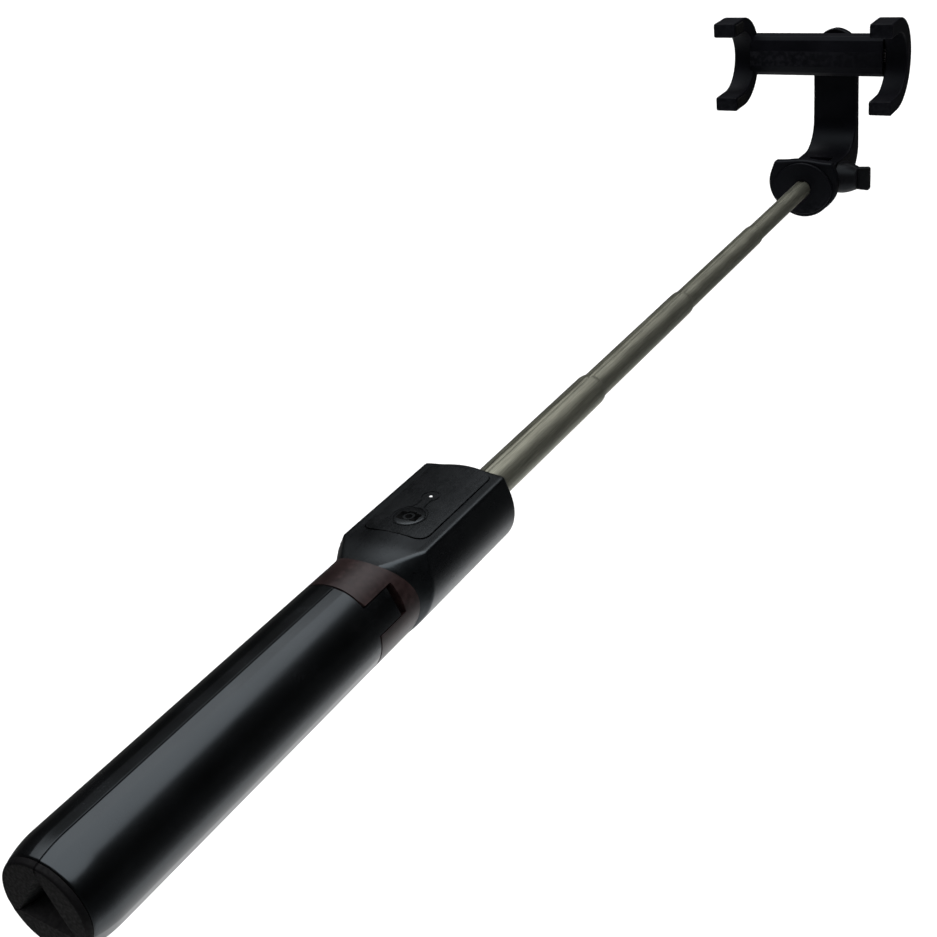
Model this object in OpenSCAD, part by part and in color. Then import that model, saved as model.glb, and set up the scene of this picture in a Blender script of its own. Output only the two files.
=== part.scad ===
// Pocket selfie stick whose grip opens into a tripod.
// +Y runs along the pole from the butt of the grip to the clamp, +Z is up through the button panel,
// +X points to the thumb knob and the sliding jaw. The pole's axis is X = 0, Z = 0. Millimetres.

/* [Grip] */
// Outside radius of the closed grip
grip_r = 13; // [12.8:0.1:13.4]
// Thickness of the legs' outer skin and side walls
leg_wall = 1.6; // [1.2:0.1:2.2]
// Length of the three legs below the hub
leg_len = 100.8; // [95:0.1:100.8]
// Thickness of each rubber foot at its rim
foot_t = 1.5; // [1.5:0.5:5]

/* [Housing] */
// Height of the button panel above the pole's axis
panel_z = 12.4; // [12.2:0.1:12.8]
// Length of the removable remote along the pole
remote_len = 35.6; // [32:0.2:36]
// Width of the removable remote
remote_w = 19.4; // [18:0.2:19.6]

/* [Pole] */
// Outside radii of the four sliding tubes, thickest first
tube_r = [5.3, 4.58, 4.05, 3.55];
// How far each sliding tube stands out of the one before it
stage_out = [76.3, 72.9, 70.3, 56.5];

/* [Clamp] */
// Gap between the pads with the clamp at rest
phone_gap = 56; // [50:1:60]
// Thickness of each jaw along the bar
jaw_t = 9.2; // [7:0.2:10]
// Height of the clamp's pivot above the tilt hinge
pivot_z = 46.5; // [44:0.5:50]

/* [Hidden] */
$fn = 64;

// Grip
leg_turns = [66, -54, 186];
crease_r = grip_r - 0.05;
flat_turn = 47;
core_r = 7;
parting = 0.2;
taper_len = 9;
taper_r = 11.2;
skin_r = grip_r - leg_wall;
liner_t = 1.2;
foot_peg = 12;
foot_facet_r = 4.5;
foot_facet_rise = 9;

// Leg hinges
pin_y = 107;
pin_ring_r = 10;
pin_r = 1;
pin_half = 6.6;
tab_half = 4;
tab_gap = 0.3;
tab_top = 110.3;
eye_back = 2.5;
tab_rise = 0.6;
ear_r = 6.1;
ear_half = 8.5;
slot_floor = 7.2;
slot_top = 112.4;

// Hub and housing
hub_y = [101, 113];
spigot_r = 11;
spigot_top = 121;
house_end = 166;
end_plate = 1.6;
house_wall = 1.6;
lobe_r = 13.5;
lobe_x = 1.71;
lobe_z = 2.19;
side_lean = 20;
crown_r = 80;
scoop_r = 18.1;
scoop_rise = 5.5;
ramp_y = 124.5;
ramp_r = 17.8;
recess_y = [128.4, 164];
recess_gap = 0.25;
tray_z = 7.2;
frame_r = 8;
corner_r = 3;
wide = 40;

// Guide tube and mouth
guide_r = 6.15;
guide_bore = 5.65;
guide_y = [60, 161.9];

// Remote
cover_z = 11.3;
base_z = tray_z + 0.1;
button_y = 136.9;
button_r = 4.3;
button_ring = 5.06;
led_y = 147.6;
led_r = 0.55;
led_ring = 2.6;
groove = 0.35;
cell_y = 153;
cell_r = 6.25;
cell_t = 1.6;
board_z = 8;
board_t = 0.6;
stem_z = 10.7;

// Pole
tube_wall = [0.4, 0.25, 0.25, 0.3];
key_r = 1.15;
key_lift = 0.4;
lip_len = 1.2;
overlap = [22, 20, 18, 16];
bush_len = 6;
slide_gap = 0.1;
tube_end = [
    house_end + stage_out[0],
    house_end + stage_out[0] + stage_out[1],
    house_end + stage_out[0] + stage_out[1] + stage_out[2],
    house_end + stage_out[0] + stage_out[1] + stage_out[2] + stage_out[3]
];

// Head
cap_y = tube_end[3];
cap_t = 4.5;
face_t = 0.9;
face_r = 13.18;
face_shift = 2.18;
socket_depth = 6;
hinge_y = 460;
hinge_r = 6.6;
lug_half = 4.5;
washer_t = 0.4;
arm_half = 9.5;
bolt_r = 1.5;
bolt_gap = 0.06;
plate_y = [485.4, 489];
bend_in_r = 12.5;
bend_out_r = 10;
web_z = [-5, 5.8];
knob_x = [10.1, 23.5];

// Clamp
bar_y = [475.8, 484.2];
bar_half = 8.35;
ring_y = 465.7;
ring_out = 18.5;
ring_in = 12.6;
finger_y = 455.5;
pad_t = 0.6;
fixed_face = -33;
slide_face = fixed_face + phone_gap;
channel_y = [478, 482.3];
channel_half = 5.9;
cover_half = 6.6;
cover_y = 482.5;
tongue_y = [479.2, 481];
tongue_half = 2.4;
tongue_x = [-26, slide_face + 6];
lane_z = 4.2;
spring_y = 480.1;
spring_x = [-31, 4];
spring_r = 1.4;

// Extrudes a flat (X, Z) outline along Y
module along_y(y0, y1) {
    translate([0, y1, 0]) rotate([90, 0, 0]) linear_extrude(height = y1 - y0) children();
}

// Extrudes a flat (Y, Z) outline along X
module along_x(x0, x1) {
    translate([x0, 0, 0]) rotate([90, 0, 90]) linear_extrude(height = x1 - x0) children();
}

module rod_y(r, y0, y1) {
    translate([0, y0, 0]) rotate([-90, 0, 0]) cylinder(r = r, h = y1 - y0);
}

module rod_x(r, x0, x1) {
    translate([x0, 0, 0]) rotate([0, 90, 0]) cylinder(r = r, h = x1 - x0);
}

// A body of revolution about the pole's axis, from a flat (radius, Y) outline
module turned_y() {
    rotate([-90, 0, 0]) rotate_extrude() children();
}

module pipe_y(r_out, r_in, y0, y1) {
    difference() {
        rod_y(r_out, y0, y1);
        rod_y(r_in, y0 - 1, y1 + 1);
    }
}

module slab(x, y, z) {
    translate([x[0], y[0], z[0]]) cube([x[1] - x[0], y[1] - y[0], z[1] - z[0]]);
}

// ---- Legs: each is drawn with its middle towards +Z, then turned to its place

module leg_outline() {
    edge_x = crease_r * sin(60);
    edge_z = crease_r * cos(60) + parting;
    side_x = grip_r * sin(flat_turn);
    side_z = grip_r * cos(flat_turn);
    intersection() {
        circle(r = grip_r);
        polygon([
            [0, parting],
            [edge_x, edge_z],
            [side_x, side_z],
            [side_x, grip_r + 1],
            [-side_x, grip_r + 1],
            [-side_x, side_z],
            [-edge_x, edge_z]
        ]);
    }
}

// The space inside a leg's outer skin and side walls
module leg_hollow() {
    intersection() {
        circle(r = skin_r);
        polygon([
            [0, parting + 2 * leg_wall],
            [wide * sin(60), wide * cos(60) + parting + 2 * leg_wall],
            [0, wide],
            [-wide * sin(60), wide * cos(60) + parting + 2 * leg_wall]
        ]);
    }
}

// Rounds the butt end of the closed grip
module butt_round() {
    arc_r = (taper_len * taper_len + pow(grip_r - taper_r, 2)) / (2 * (grip_r - taper_r));
    turned_y() union() {
        intersection() {
            translate([grip_r - arc_r, taper_len]) circle(r = arc_r);
            square([grip_r, taper_len]);
        }
        translate([0, taper_len]) square([grip_r, slot_top]);
    }
}

module leg_shell() {
    intersection() {
        difference() {
            union() {
                along_y(foot_t, leg_len) leg_outline();
                leg_tab();
            }
            rod_y(core_r, -1, slot_top);
            along_y(foot_t - 1, leg_len - 10) leg_hollow();
            translate([0, pin_y, pin_ring_r]) rod_x(pin_r + 0.08, -wide, wide);
        }
        butt_round();
    }
}

// The hinge tab that stands up between two ears of the hub
module leg_tab() {
    along_x(-tab_half, tab_half) union() {
        translate([leg_len - 8, pin_ring_r - eye_back]) square([pin_y - leg_len + 8, eye_back + tab_rise]);
        translate([leg_len - 8, pin_ring_r + tab_rise]) square([tab_top - leg_len + 8, grip_r - pin_ring_r]);
        translate([pin_y, pin_ring_r]) circle(r = eye_back);
    }
}

module leg_liner() {
    intersection() {
        pipe_y(core_r + liner_t, core_r, foot_peg + 0.4, leg_len - 10.2);
        along_y(0, leg_len) leg_hollow();
    }
}

module foot() {
    intersection() {
        difference() {
            union() {
                along_y(0, foot_t) leg_outline();
                along_y(foot_t - 0.5, foot_peg) intersection() {
                    leg_hollow();
                    circle(r = skin_r - 0.1);
                }
                intersection() {
                    along_y(0, foot_peg) leg_outline();
                    rod_y(core_r - 0.1, 0, foot_peg);
                }
            }
            along_x(-wide, wide) polygon([
                [-0.01, foot_facet_r],
                [foot_facet_rise, 0],
                [foot_facet_rise, -1],
                [-0.01, -1]
            ]);
        }
        butt_round();
    }
}

module leg_pin() {
    translate([0, pin_y, pin_ring_r]) rod_x(pin_r, -pin_half, pin_half);
}

module at_leg(i) {
    rotate([0, leg_turns[i], 0]) children();
}

module leg_shell_right() { color([0.10, 0.10, 0.11]) at_leg(0) leg_shell(); }
module leg_shell_left() { color([0.10, 0.10, 0.11]) at_leg(1) leg_shell(); }
module leg_shell_bottom() { color([0.10, 0.10, 0.11]) at_leg(2) leg_shell(); }
module leg_liner_right() { color([0.08, 0.08, 0.08]) at_leg(0) leg_liner(); }
module leg_liner_left() { color([0.08, 0.08, 0.08]) at_leg(1) leg_liner(); }
module leg_liner_bottom() { color([0.08, 0.08, 0.08]) at_leg(2) leg_liner(); }
module foot_right() { color([0.05, 0.05, 0.05]) at_leg(0) foot(); }
module foot_left() { color([0.05, 0.05, 0.05]) at_leg(1) foot(); }
module foot_bottom() { color([0.05, 0.05, 0.05]) at_leg(2) foot(); }
module leg_pin_right() { color([0.7, 0.7, 0.7]) at_leg(0) leg_pin(); }
module leg_pin_left() { color([0.7, 0.7, 0.7]) at_leg(1) leg_pin(); }
module leg_pin_bottom() { color([0.7, 0.7, 0.7]) at_leg(2) leg_pin(); }

// ---- Hub

module hub_collar() {
    color([0.22, 0.17, 0.17]) difference() {
        union() {
            difference() {
                rod_y(grip_r, hub_y[0], hub_y[1] + scoop_rise);
                housing_plan(0.05);
            }
            rod_y(spigot_r, hub_y[1] - 1, spigot_top);
        }
        rod_y(guide_r + 0.05, hub_y[0] - 1, spigot_top + 1);
        for (i = [0:2]) at_leg(i) {
            slab([-tab_half - tab_gap, tab_half + tab_gap], [hub_y[0] - 1, slot_top], [slot_floor, grip_r + 1]);
            ear_round();
            translate([0, pin_y, pin_ring_r]) rod_x(pin_r, -pin_half, pin_half);
        }
        screw_places() rod_y(0.8, 0, 7);
    }
}

// Rounds the collar's edge beside a tab, so that the leg's shoulders clear it as the leg opens
module ear_round() {
    difference() {
        slab([-ear_half, ear_half], [hub_y[0] - 1, hub_y[0] + 2], [pin_ring_r, grip_r + 1]);
        translate([0, pin_y, pin_ring_r]) rod_x(ear_r, -wide, wide);
    }
}

// Places an item, drawn along +Y, at the two screws under the housing that hold the hub
module screw_places() {
    for (side = [-1, 1]) {
        rotate([0, 180 + side * 32, 0]) translate([0, 117, grip_r + 0.4]) rotate([-90, 0, 0]) children();
    }
}

module housing_screws() {
    color([0.5, 0.5, 0.52]) screw_places() difference() {
        union() {
            rod_y(0.8, 1.5, 6.8);
            rod_y(1.5, 0.9, 1.8);
        }
        slab([-0.9, 0.9], [0.5, 1.3], [-0.2, 0.2]);
        slab([-0.2, 0.2], [0.5, 1.3], [-0.9, 0.9]);
    }
}

// ---- Housing

// Half width of the flat-sided top corners, where the sides meet the panel
function corner_x(inset) =
    (lobe_x * cos(side_lean) + lobe_z * sin(side_lean) + lobe_r - inset - sin(side_lean) * (panel_z - inset))
    / cos(side_lean);

module housing_outline(inset) {
    flat_x = lobe_x + (lobe_r - inset) * cos(side_lean);
    flat_z = lobe_z + (lobe_r - inset) * sin(side_lean);
    circle(r = grip_r - inset);
    polygon([
        [0, 0],
        [flat_x, flat_z],
        [corner_x(inset), panel_z - inset],
        [-corner_x(inset), panel_z - inset],
        [-flat_x, flat_z]
    ]);
    for (side = [-1, 1]) translate([side * lobe_x, lobe_z]) circle(r = lobe_r - inset);
}

// The crowned surface of the button panel
module crown(z) {
    translate([0, z - crown_r]) circle(r = crown_r, $fn = 360);
}

module housing_block(inset, y0, y1) {
    along_y(y0, y1) intersection() {
        union() housing_outline(inset);
        crown(panel_z - inset);
    }
}

// Tapers the housing down to the hub's collar
module ramp_cone() {
    rise = ramp_r - grip_r;
    turned_y() polygon([
        [0, hub_y[1] - 0.1],
        [grip_r, hub_y[1] - 0.1],
        [grip_r, hub_y[1] + scoop_rise],
        [grip_r + rise, ramp_y],
        [grip_r + rise, house_end + 1],
        [0, house_end + 1]
    ]);
}

// Everything above the housing's scooped near end, seen from above; the collar rises at each side of it
module housing_plan(gap) {
    start = hub_y[1] - gap;
    translate([0, start + scoop_r, -wide]) cylinder(r = scoop_r, h = 2 * wide);
    slab([-wide, wide], [start + scoop_r, house_end + 1], [-wide, wide]);
}

module ramp_top_cut() {
    along_x(-wide, wide) polygon([
        [hub_y[1] - 1, panel_z - 0.7],
        [ramp_y, panel_z],
        [ramp_y, panel_z + 5],
        [hub_y[1] - 1, panel_z + 5]
    ]);
}

// A flat (X, Y) outline with rounded corners, extruded upwards
module rounded_plate(half_x, y0, y1, r, z0, z1) {
    translate([0, 0, z0]) linear_extrude(height = z1 - z0) union() {
        translate([-half_x + r, y0]) square([2 * (half_x - r), y1 - y0]);
        translate([-half_x, y0 + r]) square([2 * half_x, y1 - y0 - 2 * r]);
        for (x = [-1, 1]) for (y = [y0 + r, y1 - r]) translate([x * (half_x - r), y]) circle(r = r);
    }
}

module housing_shell() {
    half = remote_w / 2 + recess_gap;
    color([0.10, 0.10, 0.11]) difference() {
        intersection() {
            housing_block(0, hub_y[1], house_end);
            ramp_cone();
            union() housing_plan(0);
        }
        ramp_top_cut();
        rod_y(spigot_r + 0.05, hub_y[1] - 1, spigot_top + 0.3);
        housing_block(house_wall, spigot_top + 0.2, house_end - end_plate);
        rod_y(guide_r + 0.1, hub_y[1], house_end + 1);
        rounded_plate(half, recess_y[0] - recess_gap, recess_y[1] + recess_gap, corner_r, tray_z, panel_z + 2);
        screw_places() union() {
            rod_y(0.9, 0, 5);
            rod_y(1.55, -2, 1.8);
        }
    }
}

// Holds the guide tube along the housing and carries the remote on its tray
module inner_frame() {
    half = remote_w / 2 + recess_gap;
    color([0.14, 0.14, 0.15]) difference() {
        union() {
            rod_y(frame_r, spigot_top + 0.3, house_end - end_plate - 0.1);
            slab([-half, half], [recess_y[0] - recess_gap, recess_y[1] + recess_gap], [4.5, tray_z - 0.05]);
        }
        rod_y(guide_r + 0.05, spigot_top, house_end);
        slab([-wide, wide], [spigot_top, house_end], [tray_z - 0.05, wide]);
    }
}

module guide_tube() {
    color([0.45, 0.45, 0.46]) pipe_y(guide_r, guide_bore, guide_y[0], guide_y[1]);
}

module guide_plug() {
    color([0.10, 0.10, 0.10]) union() {
        rod_y(guide_bore, guide_y[0], guide_y[0] + 5);
        rod_y(guide_r, guide_y[0] - 1.2, guide_y[0]);
    }
}

module mouth_bush() {
    color([0.13, 0.13, 0.13]) difference() {
        rod_y(guide_r, guide_y[1] + 0.1, house_end + 0.3);
        rod_y(tube_r[0] + slide_gap, guide_y[1] - 1, house_end + 1);
        translate([0, house_end, tube_r[0] + key_lift]) rod_y(key_r, -10, 2);
    }
}

// ---- Remote

// Outline of the groove that rings the button and the lamp
module keyhole(inset) {
    translate([0, button_y]) circle(r = button_ring - inset);
    translate([0, led_y]) circle(r = led_ring - inset);
    translate([-1.6 + inset, button_y]) square([3.2 - 2 * inset, led_y - button_y]);
}

module remote_cover() {
    color([0.11, 0.11, 0.12]) difference() {
        intersection() {
            rounded_plate(remote_w / 2, recess_y[0], recess_y[0] + remote_len, corner_r, base_z + 1, panel_z + 1);
            along_y(recess_y[0] - 1, house_end) crown(panel_z);
        }
        rounded_plate(remote_w / 2 - 1, recess_y[0] + 1, recess_y[0] + remote_len - 1, 2, base_z, cover_z);
        translate([0, button_y, base_z]) cylinder(r = button_r + 0.15, h = 9);
        translate([0, led_y, base_z]) cylinder(r = led_r + 0.05, h = 9);
        translate([0, 0, panel_z - 0.3]) linear_extrude(height = 2) difference() {
            keyhole(0);
            keyhole(groove);
        }
    }
}

module remote_base() {
    wall_top = cover_z - 1.6;
    color([0.10, 0.10, 0.10]) difference() {
        union() {
            rounded_plate(remote_w / 2, recess_y[0], recess_y[0] + remote_len, corner_r, base_z, base_z + 0.95);
            rounded_plate(remote_w / 2 - 1.1, recess_y[0] + 1.1, recess_y[0] + remote_len - 1.1, 2,
                base_z + 0.5, wall_top);
        }
        rounded_plate(remote_w / 2 - 2, recess_y[0] + 2, recess_y[0] + remote_len - 2, 1.5, board_z - 0.05, cover_z);
    }
}

module shutter_button() {
    color([0.12, 0.12, 0.13]) translate([0, button_y, 0]) union() {
        translate([0, 0, cover_z - 0.3]) cylinder(r = button_r, h = panel_z + 0.35 - cover_z);
        translate([0, 0, stem_z]) cylinder(r = 1, h = cover_z - stem_z);
    }
}

module led_lens() {
    color([0.95, 0.95, 0.95, 0.9]) translate([0, led_y, 0]) union() {
        translate([0, 0, cover_z - 0.5]) cylinder(r = led_r, h = panel_z - cover_z + 0.55);
        translate([0, 0, cover_z - 0.6]) cylinder(r = 1.3, h = 0.5);
    }
}

module circuit_board() {
    color([0.05, 0.22, 0.12]) slab([-7.3, 7.3], [131.2, 161.2], [board_z, board_z + board_t]);
}

module switch_body() {
    color([0.6, 0.6, 0.6]) slab([-1.8, 1.8], [button_y - 1.8, button_y + 1.8], [board_z + board_t, stem_z - 0.45]);
}

module coin_cell() {
    color([0.75, 0.75, 0.76]) translate([0, cell_y, board_z + board_t + 0.1]) cylinder(r = cell_r, h = cell_t);
}

module cell_contact() {
    top = board_z + board_t + cell_t + 0.15;
    color([0.85, 0.75, 0.4]) union() {
        slab([-1.2, 1.2], [cell_y - 7.4, cell_y + 2], [top, top + 0.15]);
        slab([-1.2, 1.2], [cell_y - 7.4, cell_y - 6.9], [board_z + board_t, top + 0.1]);
    }
}

// ---- Pole

// Section of tube i, with the lengthwise groove that stops it turning
module tube_section(i) {
    r = tube_r[i];
    wall = tube_wall[i];
    difference() {
        union() {
            difference() {
                circle(r = r);
                circle(r = r - wall);
            }
            intersection() {
                circle(r = r - wall / 2);
                translate([0, r + key_lift]) circle(r = key_r + wall * 0.8);
            }
        }
        translate([0, r + key_lift]) circle(r = key_r);
    }
}

// The rolled-in lip at the top of tube i, which guides the next tube
module tube_lip(i) {
    hole = tube_r[i + 1] + slide_gap;
    difference() {
        intersection() {
            rod_y(tube_r[i], tube_end[i] - lip_len, tube_end[i]);
            turned_y() polygon([
                [0, tube_end[i] - lip_len],
                [tube_r[i], tube_end[i] - lip_len],
                [tube_r[i] - 0.35, tube_end[i]],
                [0, tube_end[i]]
            ]);
        }
        difference() {
            rod_y(hole, tube_end[i] - 5, tube_end[i] + 1);
            translate([0, tube_end[i] - 3, tube_r[i + 1] + key_lift]) rod_y(key_r - slide_gap, -3, 5);
        }
        translate([0, tube_end[i] - 3, tube_r[i] + key_lift]) rod_y(key_r, -1, 5);
    }
}

module tube_body(i, top) {
    base = i == 0 ? house_end - overlap[0] : tube_end[i - 1] - overlap[i];
    along_y(base, top) tube_section(i);
}

module tube_1() { color([0.42, 0.42, 0.38]) union() { tube_body(0, tube_end[0] - lip_len); tube_lip(0); } }
module tube_2() { color([0.42, 0.42, 0.38]) union() { tube_body(1, tube_end[1] - lip_len); tube_lip(1); } }
module tube_3() { color([0.42, 0.42, 0.38]) union() { tube_body(2, tube_end[2] - lip_len); tube_lip(2); } }
module tube_4() { color([0.42, 0.42, 0.38]) tube_body(3, cap_y + socket_depth - 0.1); }

// Friction bush on the lower end of tube i, inside a bore of the given radius
module bush(i, bore) {
    base = i == 0 ? house_end - overlap[0] : tube_end[i - 1] - overlap[i];
    difference() {
        rod_y(bore - slide_gap, base - 1, base + bush_len);
        rod_y(tube_r[i] - tube_wall[i] - 0.6, base - 2, base);
        rod_y(tube_r[i], base, base + bush_len + 1);
        slab([-2, 2], [base - 2, base + bush_len + 1], [0, wide]);
    }
}

module bush_1() { color([0.85, 0.85, 0.82]) bush(0, guide_bore); }
module bush_2() { color([0.85, 0.85, 0.82]) bush(1, tube_r[0] - tube_wall[0]); }
module bush_3() { color([0.85, 0.85, 0.82]) bush(2, tube_r[1] - tube_wall[1]); }
module bush_4() { color([0.85, 0.85, 0.82]) bush(3, tube_r[2] - tube_wall[2]); }

// ---- Tilt hinge

module end_cap() {
    color([0.10, 0.10, 0.11]) difference() {
        union() {
            housing_block(0.4, cap_y + face_t, cap_y + cap_t);
            along_y(cap_y, cap_y + cap_t) intersection() {
                translate([0, face_shift]) circle(r = face_r);
                translate([0, -face_shift]) circle(r = face_r);
            }
            along_x(-lug_half, lug_half) union() {
                translate([hinge_y, 0]) circle(r = hinge_r);
                translate([cap_y + 1, -hinge_r]) square([hinge_y - cap_y - 1, 2 * hinge_r]);
            }
        }
        rod_y(tube_r[3] + 0.02, cap_y - 1, cap_y + socket_depth);
        translate([0, hinge_y, 0]) rod_x(bolt_r + bolt_gap, -wide, wide);
        translate([0, cap_y + 3, 0]) rod_x(0.6, -9, 9);
    }
}

module cap_rivet() {
    color([0.6, 0.6, 0.6]) difference() {
        translate([0, cap_y + 3, 0]) rod_x(0.6, -9, 9);
        rod_y(tube_r[3], cap_y, cap_y + socket_depth);
    }
}

// Side view of the arm: hinge eyes, a web, a bend and an upright plate
module arm_side() {
    bend_y = plate_y[0] - bend_in_r;
    bend_z = web_z[1] + bend_in_r;
    out_y = plate_y[1] - bend_out_r;
    out_z = web_z[0] + bend_out_r;
    translate([hinge_y, 0]) circle(r = hinge_r);
    translate([hinge_y, web_z[0]]) square([out_y - hinge_y, web_z[1] - web_z[0]]);
    translate([plate_y[0], out_z]) square([plate_y[1] - plate_y[0], pivot_z - out_z]);
    intersection() {
        translate([out_y, out_z]) circle(r = bend_out_r);
        translate([out_y, web_z[0]]) square([bend_out_r, web_z[1] - web_z[0]]);
    }
    difference() {
        translate([bend_y, web_z[1] - 0.5]) square([plate_y[0] - bend_y + 0.5, bend_in_r + 0.5]);
        translate([bend_y, bend_z]) circle(r = bend_in_r);
    }
}

module arm() {
    color([0.11, 0.11, 0.12]) difference() {
        union() {
            along_x(-arm_half, arm_half) arm_side();
            translate([0, plate_y[0], pivot_z]) rotate([-90, 0, 0]) cylinder(r = arm_half, h = plate_y[1] - plate_y[0]);
        }
        slab([-lug_half - washer_t, lug_half + washer_t], [hinge_y - hinge_r - 1, hinge_y + hinge_r + 0.8], [-9, 9]);
        translate([0, hinge_y, 0]) rod_x(bolt_r + bolt_gap, -wide, wide);
        translate([0, hinge_y, 0]) nut_shape(-arm_half - 1, -arm_half + 2.2, 0);
        translate([0, 0, pivot_z]) rod_y(2.1, plate_y[0] - 1, plate_y[1] + 1);
        translate([0, 0, pivot_z]) rod_y(5, plate_y[0] + 1.6, plate_y[1] + 1);
    }
}

module nut_shape(x0, x1, inset) {
    translate([x0, 0, 0]) rotate([0, 90, 0]) cylinder(r = 2.9 - inset, h = x1 - x0, $fn = 6);
}

module hinge_nut() {
    color([0.6, 0.6, 0.62]) translate([0, hinge_y, 0]) difference() {
        nut_shape(-arm_half + 0.2, -arm_half + 2.1, 0.05);
        rod_x(bolt_r + bolt_gap, -wide, wide);
    }
}

module hinge_washers() {
    color([0.8, 0.8, 0.78]) for (x = [-lug_half - washer_t + 0.05, lug_half + 0.05]) {
        translate([0, hinge_y, 0]) difference() {
            rod_x(5, x, x + washer_t - 0.1);
            rod_x(bolt_r + bolt_gap, x - 1, x + 1);
        }
    }
}

module hinge_bolt() {
    color([0.6, 0.6, 0.62]) translate([0, hinge_y, 0]) rod_x(bolt_r, -arm_half + 0.3, 15);
}

// Thumb knob: a domed boss that carries a flat wing
module thumb_knob() {
    color([0.35, 0.35, 0.38]) translate([0, hinge_y, 0]) difference() {
        union() {
            rotate([0, 90, 0]) rotate_extrude() polygon([
                [0, knob_x[0]],
                [6.3, knob_x[0]],
                [6.6, knob_x[0] + 0.8],
                [6.4, knob_x[0] + 3.5],
                [5.6, knob_x[0] + 6.5],
                [4.8, knob_x[0] + 8.2],
                [0, knob_x[0] + 8.2]
            ]);
            along_x(knob_x[0] + 7, knob_x[1]) square([2.6, 10], center = true);
        }
        rod_x(bolt_r, 0, 15);
    }
}

// ---- Phone clamp

// The C-shaped side view shared by both jaws
module jaw_side() {
    difference() {
        union() {
            translate([ring_y, pivot_z]) circle(r = ring_out);
            translate([finger_y, pivot_z - ring_out]) square([ring_y - finger_y, 2 * ring_out]);
        }
        translate([ring_y, pivot_z]) circle(r = ring_in);
        translate([finger_y - 1, pivot_z - ring_in]) square([ring_y - finger_y + 1, 2 * ring_in]);
        translate([finger_y - 20, pivot_z - wide]) square([20, 2 * wide]);
    }
}

module bar_side() {
    edge = 1.6;
    polygon([
        [bar_y[0] + 0.9, pivot_z - bar_half + edge],
        [bar_y[0] + 2.2, pivot_z - bar_half],
        [bar_y[1], pivot_z - bar_half],
        [bar_y[1], pivot_z + bar_half],
        [bar_y[0] + 2.2, pivot_z + bar_half],
        [bar_y[0] + 0.9, pivot_z + bar_half - edge],
        [bar_y[0], pivot_z + 2.5],
        [bar_y[0], pivot_z - 4]
    ]);
}

module at_cover_screws() {
    for (x = [-28, 16]) for (z = [-4.9, 4.9]) translate([x, 0, pivot_z + z]) children();
}

module clamp_bar() {
    color([0.11, 0.11, 0.12]) difference() {
        union() {
            along_x(fixed_face - pad_t - jaw_t, fixed_face - pad_t) jaw_side();
            along_x(fixed_face - pad_t - 1, slide_face) bar_side();
        }
        slab([fixed_face + 1.6, slide_face + 1], channel_y, [pivot_z - channel_half, pivot_z + channel_half]);
        slab([fixed_face + 1.4, slide_face - 2], [cover_y, bar_y[1] + 1], [pivot_z - cover_half, pivot_z + cover_half]);
        pad_places(fixed_face - pad_t) pad_seat();
    }
}

// Closes the back of the bar and carries the pivot
module bar_cover() {
    color([0.12, 0.12, 0.13]) difference() {
        slab([fixed_face + 1.5, slide_face - 2.1], [cover_y, bar_y[1] - 0.05],
            [pivot_z - cover_half + 0.1, pivot_z + cover_half - 0.1]);
        translate([0, 0, pivot_z]) rod_y(1.2, cover_y - 1, bar_y[1] + 1);
        at_cover_screws() union() {
            rod_y(0.55, cover_y - 1, bar_y[1] + 1);
            rod_y(1, bar_y[1] - 0.6, bar_y[1] + 1);
        }
    }
}

module bar_screws() {
    color([0.55, 0.55, 0.57]) at_cover_screws() union() {
        rod_y(0.55, cover_y + 0.02, bar_y[1] - 0.3);
        rod_y(1, bar_y[1] - 0.6, bar_y[1] - 0.1);
    }
}

module pivot_screw() {
    color([0.6, 0.6, 0.62]) translate([0, 0, pivot_z]) union() {
        rod_y(1.2, channel_y[1] + 0.2, bar_y[1]);
        rod_y(2, bar_y[1], plate_y[0] + 2);
        rod_y(3.8, plate_y[0] + 2, plate_y[0] + 3);
    }
}

module pivot_washer() {
    color([0.7, 0.7, 0.7]) translate([0, 0, pivot_z]) pipe_y(4.6, 2.1, plate_y[0] + 1.65, plate_y[0] + 1.95);
}

module pivot_cap() {
    color([0.10, 0.10, 0.10]) translate([0, 0, pivot_z]) difference() {
        rod_y(5, plate_y[0] + 3.2, plate_y[1] + 0.2);
        rod_y(4, plate_y[0] + 3.1, plate_y[0] + 3.3);
    }
}

module slide_jaw() {
    color([0.11, 0.11, 0.12]) difference() {
        along_x(slide_face + pad_t, slide_face + pad_t + jaw_t) union() {
            jaw_side();
            intersection() {
                bar_side();
                translate([bar_y[0] - 1, pivot_z - wide]) square([bar_y[1] - bar_y[0] - 0.2, 2 * wide]);
            }
        }
        slab([slide_face, tongue_x[1]], tongue_y, [pivot_z - tongue_half, pivot_z + tongue_half]);
        pad_places(slide_face + pad_t) pad_seat();
    }
}

module slide_tongue() {
    color([0.65, 0.65, 0.66]) slab(tongue_x, tongue_y, [pivot_z - tongue_half, pivot_z + tongue_half]);
}

// One of the two return springs' outlines: a close zigzag turned about its length
module spring_coil() {
    turns = 28;
    pitch = (spring_x[1] - spring_x[0]) / turns;
    outer = [for (i = [0:2 * turns]) [spring_r - (i % 2) * 0.3, i * pitch / 2]];
    inner = [for (i = [2 * turns:-1:0]) [spring_r - 0.45 - (i % 2) * 0.3, i * pitch / 2]];
    rotate([0, 90, 0]) rotate_extrude() polygon(concat(outer, inner));
}

module clamp_spring() {
    color([0.7, 0.7, 0.72]) for (side = [-1, 1]) {
        translate([spring_x[0], spring_y, pivot_z + side * lane_z]) spring_coil();
    }
}

// Places an item at the upper and the lower finger of a jaw face at x
module pad_places(x) {
    for (side = [-1, 1]) translate([x, finger_y + 6, pivot_z + side * (ring_in + ring_out) / 2]) children();
}

module pad_seat() {
    translate([-0.5, -4.2, -2.1]) cube([1, 8.4, 4.2]);
}

module pad() {
    translate([-0.5, -4.1, -2]) cube([0.5 + pad_t, 8.2, 4]);
}

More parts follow.
